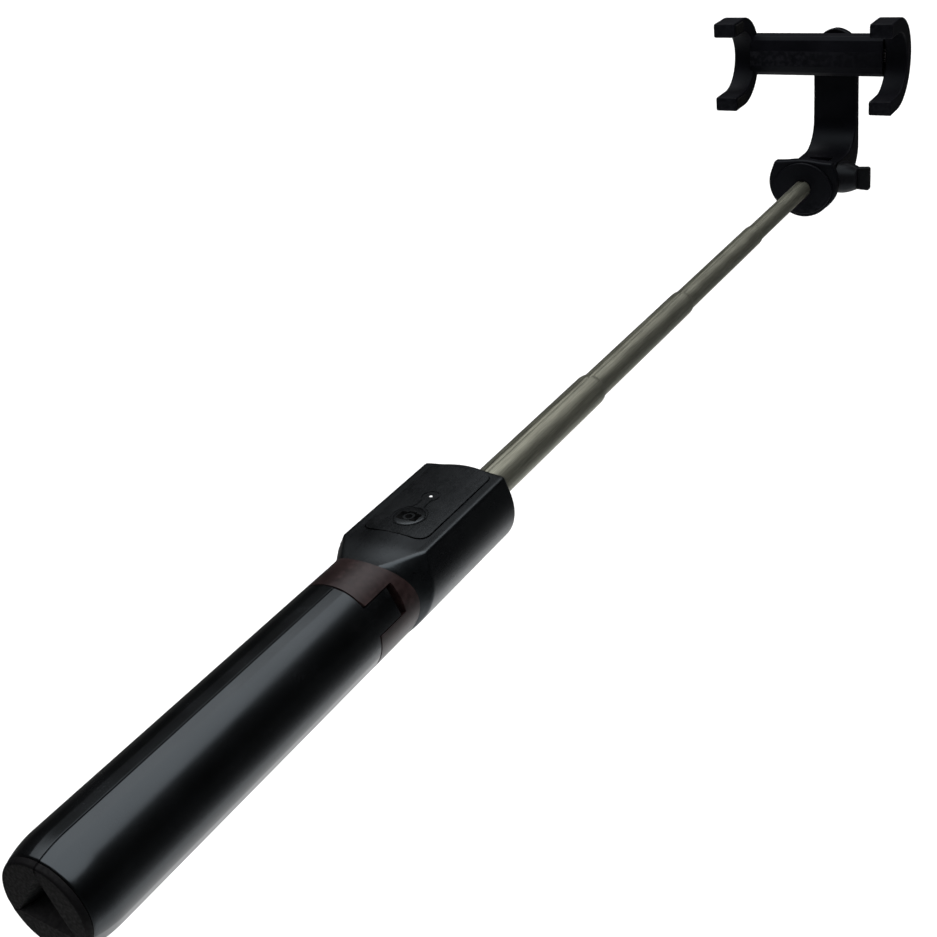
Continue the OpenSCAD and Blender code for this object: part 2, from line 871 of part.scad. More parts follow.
module fixed_pads() { color([0.04, 0.04, 0.04]) pad_places(fixed_face - pad_t) pad(); }
module slide_pads() { color([0.04, 0.04, 0.04]) pad_places(slide_face + pad_t) mirror([1, 0, 0]) pad(); }

leg_shell_right();
leg_shell_left();
leg_shell_bottom();
leg_liner_right();
leg_liner_left();
leg_liner_bottom();
foot_right();
foot_left();
foot_bottom();
leg_pin_right();
leg_pin_left();
leg_pin_bottom();
hub_collar();
housing_shell();
inner_frame();
housing_screws();
guide_tube();
guide_plug();
mouth_bush();
remote_cover();
remote_base();
shutter_button();
led_lens();
circuit_board();
switch_body();
coin_cell();
cell_contact();
tube_1();
tube_2();
tube_3();
tube_4();
bush_1();
bush_2();
bush_3();
bush_4();
end_cap();
cap_rivet();
arm();
hinge_bolt();
hinge_nut();
hinge_washers();
thumb_knob();
clamp_bar();
bar_cover();
bar_screws();
pivot_screw();
pivot_washer();
pivot_cap();
slide_jaw();
slide_tongue();
clamp_spring();
fixed_pads();
slide_pads();
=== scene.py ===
"""Looks of the selfie stick: a tripod grip, a telescopic pole, a tilting arm and a phone clamp.

Lengths are in millimetres, on the CAD frame's axes: +Y along the pole, +Z up, +X to the thumb knob.
"""
import math

import bmesh
import bpy
from mathutils import Matrix, Vector


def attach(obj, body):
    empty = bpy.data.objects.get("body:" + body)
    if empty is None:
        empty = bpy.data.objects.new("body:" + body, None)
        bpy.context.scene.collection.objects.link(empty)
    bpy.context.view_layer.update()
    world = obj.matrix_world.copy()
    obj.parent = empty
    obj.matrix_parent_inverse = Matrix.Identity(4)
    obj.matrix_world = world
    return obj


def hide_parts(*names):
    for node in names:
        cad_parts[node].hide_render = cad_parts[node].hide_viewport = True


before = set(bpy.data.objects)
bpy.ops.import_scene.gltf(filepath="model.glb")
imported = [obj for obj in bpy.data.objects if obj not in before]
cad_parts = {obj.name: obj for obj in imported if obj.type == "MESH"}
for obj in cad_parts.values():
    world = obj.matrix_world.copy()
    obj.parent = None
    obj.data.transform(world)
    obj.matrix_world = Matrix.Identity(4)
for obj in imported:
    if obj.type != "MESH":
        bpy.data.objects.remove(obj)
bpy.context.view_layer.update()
MM = 0.001
UP = Vector((0, 0, 1))

# Grip
GRIP_R = 13.0
CORE_R = 7.0
PARTING = 0.06
FACET_R = 4.5
FACET_RISE = 9.0
FOOT_T = 1.5
TAPER_LEN = 9.0
TAPER_R = 11.2
LEG_TOP = 100.8
PIN_Y = 107.0
PIN_Z = 10.0
LEGS = {"right": 66, "left": -54, "bottom": 186}
SCOOP = 5.5
TAB_TOP = 110.3
EYE_R = 2.5

# Housing and remote. The housing's sides are two circles of LOBE_R, centred at x = +-LOBE_X, z = LOBE_Z
LOBE_X = 1.71
LOBE_Z = 2.19
LOBE_R = 13.5
SIDE_LEAN = 20
CROWN_R = 80
BORE_R = 6.25
RECESS_GAP = 0.25
HUB_TOP = 113.0
HOUSE_END = 166.0
PANEL_Z = 12.4
RECESS = (128.4, 164.0)
REMOTE_HALF = 9.7
TRAY_Z = 7.2
BUTTON_Y = 136.9
BUTTON_R = 4.3
BUTTON_RING = 5.06
LED_Y = 147.6
LED_RING = 2.6

# Pole: outside radius, wall, lower end and upper end of each tube
TUBES = (
    ("tube_1", "pole_1", 5.3, 0.4, 144.0, 242.3),
    ("tube_2", "pole_2", 4.58, 0.25, 222.3, 315.2),
    ("tube_3", "pole_3", 4.05, 0.25, 297.2, 385.5),
    ("tube_4", "head", 3.55, 0.3, 369.5, 447.9),
)
KEY_R = 1.15
KEY_LIFT = 0.4
CAP_Y = (442.0, 446.5)
CAP_FACE_R = 13.18
CAP_FACE_SHIFT = 2.18

# Head and clamp
HINGE_Y = 460.0
HINGE_R = 6.6
ARM_HALF = 9.5
PLATE_Y = (485.4, 489.0)
WEB_Z = (-5.0, 5.8)
PIVOT_Z = 46.5
RING_Y = 465.7
RING_OUT = 18.5
RING_IN = 12.6
FINGER_Y = 455.5
JAW_T = 9.2
FIXED_X = -33.6
SLIDE_X = 23.6
BAR_Y = (475.8, 484.2)
BAR_HALF = 8.35
SCREW_X = (-28, 16)
SCREW_Z = (-4.9, 4.9)

# Return springs
SPRING_X = (-31.0, 4.0)
SPRING_TURNS = 26
POINTS_PER_TURN = 12
COIL_R = 1.15
COIL_Y = 480.1
COIL_Z = 4.2
WIRE_R = 0.22


# ---------------------------------------------------------------- outlines


def arc(cx, cy, r, start, end, steps):
    """Points on a circle, from start to end degrees."""
    points = []
    for i in range(steps + 1):
        a = math.radians(start + (end - start) * i / steps)
        points.append((cx + r * math.cos(a), cy + r * math.sin(a)))
    return points


def circle(r, steps=96, cx=0.0, cy=0.0):
    return arc(cx, cy, r, 0, 360, steps)[:-1]


def rounded(corners, steps=6):
    """A closed outline from (x, y, radius) corners, each one rounded by its radius."""
    points = []
    count = len(corners)
    for i, (x, y, r) in enumerate(corners):
        here = Vector((x, y))
        before = Vector(corners[i - 1][:2]) - here
        after = Vector(corners[(i + 1) % count][:2]) - here
        if r <= 0:
            points.append((x, y))
            continue
        half = before.angle(after) / 2
        reach = r / math.tan(half)
        centre = here + (before.normalized() + after.normalized()).normalized() * (r / math.sin(half))
        first = here + before.normalized() * reach - centre
        last = here + after.normalized() * reach - centre
        turn = first.angle_signed(last)
        for k in range(steps + 1):
            a = -turn * k / steps
            c, s = math.cos(a), math.sin(a)
            points.append((centre.x + first.x * c - first.y * s, centre.y + first.x * s + first.y * c))
    return points


def area(outline):
    return 0.5 * sum(
        outline[i - 1][0] * outline[i][1] - outline[i][0] * outline[i - 1][1] for i in range(len(outline))
    )


def inset(outline, depth):
    """The outline moved inwards by depth along its own normals."""
    if depth == 0:
        return list(outline)
    side = 1 if area(outline) > 0 else -1
    points = []
    count = len(outline)
    for i in range(count):
        x, y = outline[i]
        step_in = Vector((x - outline[i - 1][0], y - outline[i - 1][1]))
        step_out = Vector((outline[(i + 1) % count][0] - x, outline[(i + 1) % count][1] - y))
        if step_in.length < 1e-9:
            step_in = step_out
        if step_out.length < 1e-9:
            step_out = step_in
        normal_in = Vector((-step_in.y, step_in.x)).normalized()
        normal_out = Vector((-step_out.y, step_out.x)).normalized()
        middle = (normal_in + normal_out).normalized()
        scale = 1 / max(0.35, middle.dot(normal_out))
        points.append((x + side * middle.x * depth * scale, y + side * middle.y * depth * scale))
    return points


# ---------------------------------------------------------------- meshes


def make(name, verts, faces, sharp=35):
    """A smooth-shaded object from millimetre points, with its normals turned outwards."""
    mesh = bpy.data.meshes.new(name)
    mesh.from_pydata([Vector(v) * MM for v in verts], [], faces)
    work = bmesh.new()
    work.from_mesh(mesh)
    bmesh.ops.remove_doubles(work, verts=work.verts, dist=1e-7)
    bmesh.ops.recalc_face_normals(work, faces=work.faces)
    work.to_mesh(mesh)
    work.free()
    obj = bpy.data.objects.new(name, mesh)
    bpy.context.scene.collection.objects.link(obj)
    smooth(obj, sharp)
    return obj


def smooth(obj, sharp=35):
    obj.data.shade_smooth()
    obj.data.set_sharp_from_angle(angle=math.radians(sharp))
    weighted = obj.modifiers.new("weighted", "WEIGHTED_NORMAL")
    weighted.keep_sharp = True
    weighted.weight = 90
    return obj


def loft(name, rings, sharp=35, cyclic=False):
    """A skin over rings with the same number of points, closed by a face at each end unless cyclic."""
    count = len(rings[0])
    verts = [p for ring in rings for p in ring]
    faces = []
    last = len(rings) if cyclic else len(rings) - 1
    for i in range(last):
        a, b = i * count, ((i + 1) % len(rings)) * count
        for k in range(count):
            n = (k + 1) % count
            faces.append((a + k, a + n, b + n, b + k))
    if not cyclic:
        faces.append(tuple(range(count)))
        faces.append(tuple(range(len(verts) - count, len(verts))))
    return make(name, verts, faces, sharp)


def place(outline, axis, at):
    """2-D points put on the plane that stands at a point of an axis."""
    if axis == "x":
        return [(at, u, v) for u, v in outline]
    if axis == "y":
        return [(u, at, v) for u, v in outline]
    return [(u, v, at) for u, v in outline]


def prism(name, outline, axis, low, high, edge=0.4, edge_high=None, steps=3, sharp=35):
    """An outline extruded along an axis, with its two rims rounded by edge."""
    edge_high = edge if edge_high is None else edge_high
    rings = []
    for k in range(steps + 1):
        a = math.pi / 2 * k / steps
        rings.append(place(inset(outline, edge * (1 - math.sin(a))), axis, low + edge * (1 - math.cos(a))))
    for k in range(steps, -1, -1):
        a = math.pi / 2 * k / steps
        depth = edge_high * (1 - math.sin(a))
        rings.append(place(inset(outline, depth), axis, high - edge_high * (1 - math.cos(a))))
    return loft(name, rings, sharp)


def turned(name, profile, axis, centre=(0, 0, 0), steps=96, sharp=35):
    """A body of revolution from (position, radius) points along an axis."""
    rings = []
    for at, r in profile:
        ring = []
        for u, v in circle(max(r, 0.001), steps):
            if axis == "x":
                ring.append((centre[0] + at, centre[1] + u, centre[2] + v))
            elif axis == "y":
                ring.append((centre[0] + u, centre[1] + at, centre[2] + v))
            else:
                ring.append((centre[0] + u, centre[1] + v, centre[2] + at))
        rings.append(ring)
    return loft(name, rings, sharp)


def settle(obj):
    """Applies an object's modifiers and its placing to its mesh."""
    bpy.context.view_layer.update()
    graph = bpy.context.evaluated_depsgraph_get()
    mesh = bpy.data.meshes.new_from_object(obj.evaluated_get(graph))
    obj.modifiers.clear()
    obj.data = mesh
    return obj


def join(obj, *others, mode="UNION", sharp=35):
    """Adds, cuts or keeps the overlap with other objects, which are used up."""
    obj.modifiers.clear()
    for other in others:
        other.modifiers.clear()
        boolean = obj.modifiers.new("boolean", "BOOLEAN")
        boolean.operation = mode
        boolean.solver = "EXACT"
        boolean.object = other
        settle(obj)
        bpy.data.objects.remove(other)
    return smooth(obj, sharp)


def cut(obj, *others, sharp=35):
    return join(obj, *others, mode="DIFFERENCE", sharp=sharp)


def turn(obj, degrees, axis="Y"):
    obj.data.transform(Matrix.Rotation(math.radians(degrees), 4, axis))
    obj.data.update()
    return obj


def finish_piece(obj, body, slot, material, *nodes):
    """Gives a piece its material and its CAD body, and hides the CAD nodes that it stands for."""
    obj.data.materials.clear()
    obj.data.materials.append(material)
    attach(obj, body)
    if nodes:
        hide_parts(*nodes)
    return obj


# ---------------------------------------------------------------- materials


class Shader:
    """A Principled material with helpers for the few procedural layers that every surface here uses."""

    def __init__(self, name, colour, roughness, metallic=0.0, specular=0.5, tint=(1.0, 1.0, 1.0)):
        self.material = bpy.data.materials.new(name)
        self.material.use_nodes = True
        self.tree = self.material.node_tree
        self.shader = self.tree.nodes["Principled BSDF"]
        self.colour = colour
        self.shader.inputs["Base Color"].default_value = (*colour, 1)
        self.shader.inputs["Roughness"].default_value = roughness
        self.shader.inputs["Metallic"].default_value = metallic
        self.shader.inputs["Specular IOR Level"].default_value = specular
        self.shader.inputs["Specular Tint"].default_value = (*tint, 1)
        self.roughness = roughness
        self.bump_chain = None
        self.coords = self.node("ShaderNodeTexCoord").outputs["Object"]

    def node(self, kind, **values):
        made = self.tree.nodes.new(kind)
        for key, value in values.items():
            setattr(made, key, value)
        return made

    def link(self, a, b):
        self.tree.links.new(a, b)

    def stretched(self, scale):
        mapping = self.node("ShaderNodeMapping")
        mapping.inputs["Scale"].default_value = scale
        self.link(self.coords, mapping.inputs["Vector"])
        return mapping.outputs["Vector"]

    def noise(self, size_mm, detail=3.0, stretch=(1, 1, 1), roughness=0.5):
        """Noise whose features are about size_mm across."""
        texture = self.node("ShaderNodeTexNoise")
        texture.inputs["Scale"].default_value = 1000.0 / size_mm
        texture.inputs["Detail"].default_value = detail
        texture.inputs["Roughness"].default_value = roughness
        self.link(self.stretched(stretch), texture.inputs["Vector"])
        return texture.outputs["Fac"]

    def ramp(self, value, low, high, out_low=0.0, out_high=1.0):
        remap = self.node("ShaderNodeMapRange")
        for key, number in (
            ("From Min", low),
            ("From Max", high),
            ("To Min", out_low),
            ("To Max", out_high),
        ):
            remap.inputs[key].default_value = number
        self.link(value, remap.inputs["Value"])
        return remap.outputs["Result"]

    def mix(self, factor, a, b):
        """Colour a where factor is 0 and colour b where it is 1."""
        mixer = self.node("ShaderNodeMix", data_type="RGBA")
        self.link(factor, mixer.inputs["Factor"])
        for socket, value in ((mixer.inputs["A"], a), (mixer.inputs["B"], b)):
            if isinstance(value, tuple):
                socket.default_value = (*value, 1)
            else:
                self.link(value, socket)
        return mixer.outputs["Result"]

    def add(self, a, b, operation="ADD"):
        math_node = self.node("ShaderNodeMath", operation=operation)
        for socket, value in ((math_node.inputs[0], a), (math_node.inputs[1], b)):
            if isinstance(value, (int, float)):
                socket.default_value = value
            else:
                self.link(value, socket)
        return math_node.outputs["Value"]

    def bump(self, height, depth_mm):
        made = self.node("ShaderNodeBump")
        made.inputs["Distance"].default_value = depth_mm * MM
        self.link(height, made.inputs["Height"])
        if self.bump_chain is not None:
            self.link(self.bump_chain, made.inputs["Normal"])
        self.bump_chain = made.outputs["Normal"]
        self.link(self.bump_chain, self.shader.inputs["Normal"])

    def edges(self, low=0.52, high=0.6):
        """1 on worn convex edges, broken up by a fine noise."""
        convex = self.ramp(self.node("ShaderNodeNewGeometry").outputs["Pointiness"], low, high)
        patches = self.ramp(self.noise(1.6, 4.0), 0.42, 0.62)
        return self.add(convex, patches, "MULTIPLY")

    def set_colour(self, socket):
        self.link(socket, self.shader.inputs["Base Color"])

    def set_roughness(self, socket):
        self.link(socket, self.shader.inputs["Roughness"])


COOL = (0.88, 1.0, 1.1)


def plastic(name, colour, roughness=0.3, grain_mm=0.22, grain_depth=0.003, specular=0.5, rub=0.03, tint=COOL):
    """Moulded plastic: spark-eroded grain, soft handling marks, dust in the grain and paler worn edges."""
    s = Shader(name, colour, roughness, specular=specular, tint=tint)
    cloud = s.noise(14.0, 4.0)
    fine = s.noise(grain_mm, 2.0)
    scratch = s.noise(1.1, 5.0, stretch=(1.0, 0.08, 1.0), roughness=0.65)
    lighter = tuple(min(1.0, c * 1.3 + 0.0004) for c in colour)
    darker = tuple(c * 0.8 for c in colour)
    worn = tuple(min(1.0, c * 2.0 + 0.004) for c in colour)
    tone = s.mix(s.ramp(cloud, 0.35, 0.65), darker, lighter)
    s.set_colour(s.mix(s.edges(), tone, worn))
    marks = s.add(s.ramp(cloud, 0.3, 0.7, -rub, rub), s.ramp(scratch, 0.3, 0.8, -rub * 0.6, rub), "ADD")
    speckle = s.ramp(fine, 0.3, 0.7, -0.03, 0.03)
    s.set_roughness(s.add(s.add(marks, speckle), roughness))
    s.bump(fine, grain_depth)
    s.bump(s.noise(3.5, 2.0), 0.004)
    return s.material


def rubber(name, colour):
    """Soft rubber: a coarse matt grain with pale dust on it."""
    s = Shader(name, colour, 0.7, specular=0.12)
    dust = s.ramp(s.noise(2.2, 6.0, roughness=0.7), 0.5, 0.8)
    s.set_colour(s.mix(dust, colour, tuple(c * 1.7 + 0.0006 for c in colour)))
    s.set_roughness(s.ramp(s.noise(0.8, 3.0), 0.3, 0.7, 0.55, 0.8))
    s.bump(s.noise(0.3, 3.0), 0.02)
    return s.material


def metal(name, colour, roughness=0.25, along=(1.0, 0.02, 1.0), streak=0.12, depth=0.002, metallic=1.0):
    """Drawn or brushed metal: long streaks in roughness, colour and relief, with faint rubbing."""
    s = Shader(name, colour, roughness, metallic=metallic)
    lines = s.noise(0.25, 3.0, stretch=along, roughness=0.6)
    broad = s.noise(9.0, 3.0)
    pale = tuple(min(1.0, c * 1.22) for c in colour)
    deep = tuple(c * 0.82 for c in colour)
    tone = s.mix(s.ramp(lines, 0.3, 0.7), deep, pale)
    s.set_colour(s.mix(s.edges(0.53, 0.62), tone, tuple(min(1.0, c * 1.9 + 0.03) for c in colour)))
    both = s.add(s.ramp(lines, 0.25, 0.75, -streak / 2, streak / 2), s.ramp(broad, 0.3, 0.7, -0.04, 0.05))
    s.set_roughness(s.add(both, roughness))
    s.bump(lines, depth)
    return s.material


def board_material():
    """Green solder mask over copper tracks."""
    s = Shader("board", (0.01, 0.1, 0.05), 0.25)
    cells = s.node("ShaderNodeTexVoronoi", feature="DISTANCE_TO_EDGE")
    cells.inputs["Scale"].default_value = 450
    s.link(s.coords, cells.inputs["Vector"])
    tracks = s.ramp(cells.outputs["Distance"], 0.03, 0.06)
    s.set_colour(s.mix(tracks, (0.03, 0.2, 0.09), (0.008, 0.09, 0.04)))
    s.bump(tracks, 0.03)
    return s.material


def floor_material():
    s = Shader("floor", (0.93, 0.93, 0.93), 0.9, specular=0.0)
    s.set_colour(s.mix(s.noise(120.0, 2.0), (0.92, 0.92, 0.92), (0.94, 0.94, 0.94)))
    return s.material


INKY = (0.0010, 0.0011, 0.0013)
GRIP_BLACK = plastic("grip_plastic", INKY, 0.22, specular=0.44)
HOUSING_BLACK = plastic("housing_plastic", INKY, 0.3)
REMOTE_BLACK = plastic("remote_plastic", INKY, 0.27, grain_mm=0.15)
BUTTON_BLACK = plastic("button_plastic", INKY, 0.27, grain_mm=0.12, specular=0.45)
ICON_BLACK = plastic("icon_ink", (0.0003, 0.0003, 0.0003), 0.6, grain_mm=0.1, specular=0.01, rub=0.02)
HUB_BROWN = plastic("hub_plastic", (0.0098, 0.005, 0.005), 0.35, specular=0.31, tint=(1.05, 0.97, 1.0))
FRAME_BLACK = plastic("frame_plastic", (0.004, 0.004, 0.004), 0.5)
ARM_BLACK = plastic("arm_plastic", (0.0018, 0.0017, 0.0028), 0.46, specular=0.085)
CAP_BLACK = plastic("cap_plastic", (0.0018, 0.0017, 0.0028), 0.45, specular=0.1)
CLAMP_BLACK = plastic("clamp_plastic", (0.0024, 0.0023, 0.0036), 0.5, specular=0.065)
KNOB_GREY = plastic("knob_plastic", (0.004, 0.004, 0.0047), 0.34, specular=0.08)
WHITE_PLASTIC = plastic("white_plastic", (0.55, 0.55, 0.52), 0.3)
LAMP_WHITE = plastic("lamp_plastic", (0.85, 0.86, 0.87), 0.15, grain_depth=0.002)
FOOT_RUBBER = rubber("foot_rubber", (0.0009, 0.0008, 0.0013))
PAD_RUBBER = rubber("pad_rubber", (0.004, 0.004, 0.004))
POLE_METAL = metal("pole_metal", (0.25, 0.25, 0.205), 0.4, metallic=0.9)
STEEL = metal("steel", (0.45, 0.45, 0.46), 0.28, along=(1.0, 1.0, 1.0))
DARK_STEEL = metal("dark_steel", (0.12, 0.12, 0.13), 0.35, along=(1.0, 1.0, 1.0))
STRIP_STEEL = metal("strip_steel", (0.5, 0.5, 0.5), 0.25, along=(0.02, 1.0, 1.0))
ALLOY = metal("alloy", (0.55, 0.55, 0.55), 0.35)
BRASS = metal("brass", (0.7, 0.52, 0.25), 0.3)
BOARD = board_material()


# ---------------------------------------------------------------- grip


def wedge(outer, core, flat_bottom=None):
    """One leg's section with its middle towards +Z, or a solid sector above the line z = flat_bottom.

    The left edge runs from the wall outwards, so the section crosses itself there by about 0.15 mm.
    """
    wall = math.radians(60)
    right = rounded(
        [
            (outer * math.sin(math.radians(47)), outer * math.cos(math.radians(47)), 0),
            (outer * math.sin(wall), outer * math.cos(wall) + PARTING, 0.12),
            (core * math.sin(wall), core * math.cos(wall) + PARTING, 0),
        ],
        steps=5,
    )[1:7]
    rim = arc(0, 0, outer, 43, 137, 48)
    left = [(-x, z) for x, z in reversed(right)]
    if flat_bottom is None:
        a = 90 - 60 + math.degrees(PARTING * math.sin(wall) / core)
        inner = arc(0, 0, core, 180 - a, a, 24)
    else:
        z = max(flat_bottom, PARTING + 0.02)
        x = (z - PARTING) * math.tan(wall)
        inner = [(-x + 2 * x * k / 24, z) for k in range(25)]
    return right[::-1] + rim + left + inner


def butt_radius(y):
    """Outside radius of the closed grip at y, drawn in towards the butt."""
    if y >= TAPER_LEN:
        return GRIP_R
    drop = GRIP_R - TAPER_R
    sweep = (TAPER_LEN**2 + drop**2) / (2 * drop)
    return GRIP_R - sweep + math.sqrt(sweep**2 - (TAPER_LEN - y) ** 2)


def leg_rings(stations, solid):
    """Sections at (y, shrink) stations: hollow for a leg, or filled down to the facet for a foot."""
    rings = []
    for y, shrink in stations:
        outer = butt_radius(y) - shrink
        bottom = FACET_R * (1 - y / FACET_RISE) if solid else None
        core = min(CORE_R, outer - 1)
        rings.append(place(wedge(outer, core, bottom), "y", y))
    return rings


def leg(name, angle):
    """A leg's skin with its hinge tab, and the rubber foot plugged into its end."""
    body = "leg_" + name
    steps = [(FOOT_T + 0.12, 0.25), (FOOT_T + 0.3, 0.06), (FOOT_T + 0.5, 0.0)]
    steps += [(y, 0.0) for y in (2.7, 3.4, 4.2, 5, 6, 7, 8, 9, 12)]
    steps += [(15 + 87 * k / 6, 0.0) for k in range(6)]
    steps += [(LEG_TOP - 0.35, 0.0), (LEG_TOP - 0.12, 0.08), (LEG_TOP, 0.3)]
    shell = loft("leg_shell", leg_rings(steps, solid=False))
    eye = arc(PIN_Y, PIN_Z, EYE_R, 0, -90, 10)
    tab_side = (
        [(95.0, 7.5)]
        + eye[::-1]
        + rounded([(TAB_TOP, PIN_Z + 0.6, 0), (TAB_TOP, GRIP_R - 0.02, 0.8), (95.0, GRIP_R - 0.02, 0)], 5)[1:]
    )
    tab = prism("leg_tab", tab_side, "x", -4.0, 4.0, edge=0.25)
    round_off = turned("leg_round", [(90, GRIP_R), (118, GRIP_R)], "y", steps=192)
    join(tab, round_off, mode="INTERSECT")
    join(shell, tab)
    turn(shell, angle)
    shell.name = "leg_skin_" + name
    finish_piece(shell, body, "grip_black", GRIP_BLACK, "leg_shell_" + name, "leg_liner_" + name)

    stations = [(0.0, 0.4), (0.1, 0.2), (0.25, 0.06), (0.45, 0.0), (0.8, 0.0), (1.2, 0.0)]
    stations += [(FOOT_T - 0.1, 0.06), (FOOT_T, 0.25)]
    rings = leg_rings(stations, solid=True)
    for y in (FOOT_T, 3.0, 4.5, 6.0, 7.5, 8.8, 12.0):
        section = wedge(6.9, 5.0, FACET_R * (1 - y / FACET_RISE))
        rings.append(place(section, "y", y))
    foot = loft("foot_rubber_" + name, rings)
    turn(foot, angle)
    finish_piece(foot, body, "foot_rubber", FOOT_RUBBER, "foot_" + name)


def scoop(x):
    """How far the collar rises past its top line at x, under the housing's scooped end."""
    return SCOOP * (x / GRIP_R) ** 2


def hub():
    """The brown collar: a slot and two rounded ears for each leg, under the housing's scooped end."""
    collar = prism("hub_band", circle(GRIP_R, 192), "y", 101.0, HUB_TOP + SCOOP, edge=0.12)
    rim = [(x, HUB_TOP - 0.05 + scoop(x)) for x in range(-16, 17)]
    cut(collar, prism("hub_scoop", rim + [(16, 140), (-16, 140)], "z", -20, 20, edge=0.01))
    round_side = [(99, PIN_Z)] + arc(PIN_Y, PIN_Z, 6.1, 180, 120, 12) + [(99, 15.3)]
    for angle in LEGS.values():
        slot = prism("hub_slot", rounded([(-4.3, 7.2, 0), (4.3, 7.2, 0), (4.3, 20, 0), (-4.3, 20, 0)]),
                     "y", 100.0, 112.4, edge=0.05)
        rounding = prism("ear_round", round_side, "x", -8.5, 8.5, edge=0.02)
        cut(collar, turn(slot, angle), turn(rounding, angle))
    bore = turned("hub_bore", [(100, 6.2), (120, 6.2)], "y")
    cut(collar, bore)
    finish_piece(collar, "grip", "hub_brown", HUB_BROWN, "hub_collar")


# ---------------------------------------------------------------- housing


def panel_top(x):
    """Height of the crowned button panel."""
    return PANEL_Z - CROWN_R + math.sqrt(CROWN_R**2 - x * x)


def housing_section(cone, top, shrink=0.0, count=360):
    """The housing's outline: two overlapping circles, leaning flats up to the corners and a crowned top."""
    radii = []
    lean = math.radians(SIDE_LEAN)
    flat = LOBE_X * math.cos(lean) + LOBE_Z * math.sin(lean) + LOBE_R
    for i in range(count):
        a = 2 * math.pi * i / count
        c, s = math.cos(a), math.sin(a)
        r = GRIP_R
        for side in (-1, 1):
            along = side * LOBE_X * c + LOBE_Z * s
            r = max(r, along + math.sqrt(LOBE_R**2 - (LOBE_X**2 + LOBE_Z**2) + along**2))
        if LOBE_R * math.sin(lean) + LOBE_Z < r * s:
            r = max(r, flat / (abs(c) * math.cos(lean) + s * math.sin(lean)))
        r = min(r, cone)
        for _ in range(3):
            if s > 0.1:
                r = min(r, (panel_top(min(abs(r * c), 20)) - PANEL_Z + top) / s)
        radii.append(r - shrink)
    for _ in range(3):
        radii = [(radii[i - 1] + 2 * radii[i] + radii[(i + 1) % count]) / 4 for i in range(count)]
    angles = [2 * math.pi * i / count for i in range(count)]
    return [(r * math.cos(a), r * math.sin(a)) for r, a in zip(radii, angles)]


def ease(t):
    """A smooth step from 0 to 1."""
    t = max(0.0, min(1.0, t))
    return t * t * (3 - 2 * t)


def housing():
    """The body: a ramp from the collar, a straight part, a rounded far end and the remote's recess."""
    rings = []
    for k in range(-1, 15):
        y = HUB_TOP + max(0.0, 0.3 + 11.2 * k / 14)
        t = (y - HUB_TOP) / 11.0
        section = housing_section(GRIP_R - 0.1 if k < 0 else GRIP_R + 4.8 * min(1, t), 11.9 + 0.5 * ease(t))
        fade = 1 - (y - HUB_TOP) / 17
        rings.append([(x, y + scoop(min(abs(x), GRIP_R)) * fade, z) for x, z in section])
    for y in (130, 140, 150, 160):
        rings.append(place(housing_section(20, PANEL_Z), "y", y))
    for back, shrink in ((1.6, 0.0), (1.0, 0.0), (0.55, 0.06), (0.2, 0.25), (0.0, 0.55)):
        ring = []
        for x, z in housing_section(20, PANEL_Z, shrink):
            ring.append((x, HOUSE_END - back - 1.1 * (x / 15.2) ** 2, z))
        rings.append(ring)
    shell = loft("housing_body", rings, sharp=40)
    half = REMOTE_HALF + RECESS_GAP
    low = RECESS[0] - RECESS_GAP
    high = RECESS[1] + RECESS_GAP
    plan = rounded([(-half, low, 3.2), (half, low, 3.2), (half, high, 3.2), (-half, high, 3.2)], 10)
    recess = prism("recess", plan, "z", TRAY_Z, 16.0, edge=0.02)
    bore = turned("mouth", [(HUB_TOP - 5, BORE_R), (HOUSE_END + 4, BORE_R)], "y")
    cut(shell, recess, bore, sharp=40)
    finish_piece(shell, "grip", "housing_black", HOUSING_BLACK, "housing_shell")


def crowned(name, plan, low, high):
    """An upright plate whose top follows the panel's crown."""
    plate = prism(name, plan, "z", low, high + 2.0, edge=0.15)
    centre = (0, 0, PANEL_Z - CROWN_R)
    drum = turned(name + "_crown", [(100, CROWN_R), (190, CROWN_R)], "y", centre, steps=720)
    return join(plate, drum, mode="INTERSECT", sharp=30)


def keyhole(offset):
    """Plan of the groove round the button and the lamp: a big ring, a small ring and a neck."""
    big = BUTTON_RING + offset
    small = LED_RING + offset
    neck = 1.5 + offset
    start = math.degrees(math.asin((neck + 0.5) / big))
    finish = math.degrees(math.asin((neck + 0.35) / small))
    side = [
        (neck + 0.12, BUTTON_Y + 5.6),
        (neck, BUTTON_Y + 6.4),
        (neck, LED_Y - 3.0),
        (neck + 0.1, LED_Y - 2.4),
    ]
    points = arc(0, BUTTON_Y, big, 90 + start, 450 - start, 64)
    points += side
    points += arc(0, LED_Y, small, finish - 90, 270 - finish, 40)
    points += [(-x, y) for x, y in reversed(side)]
    return points


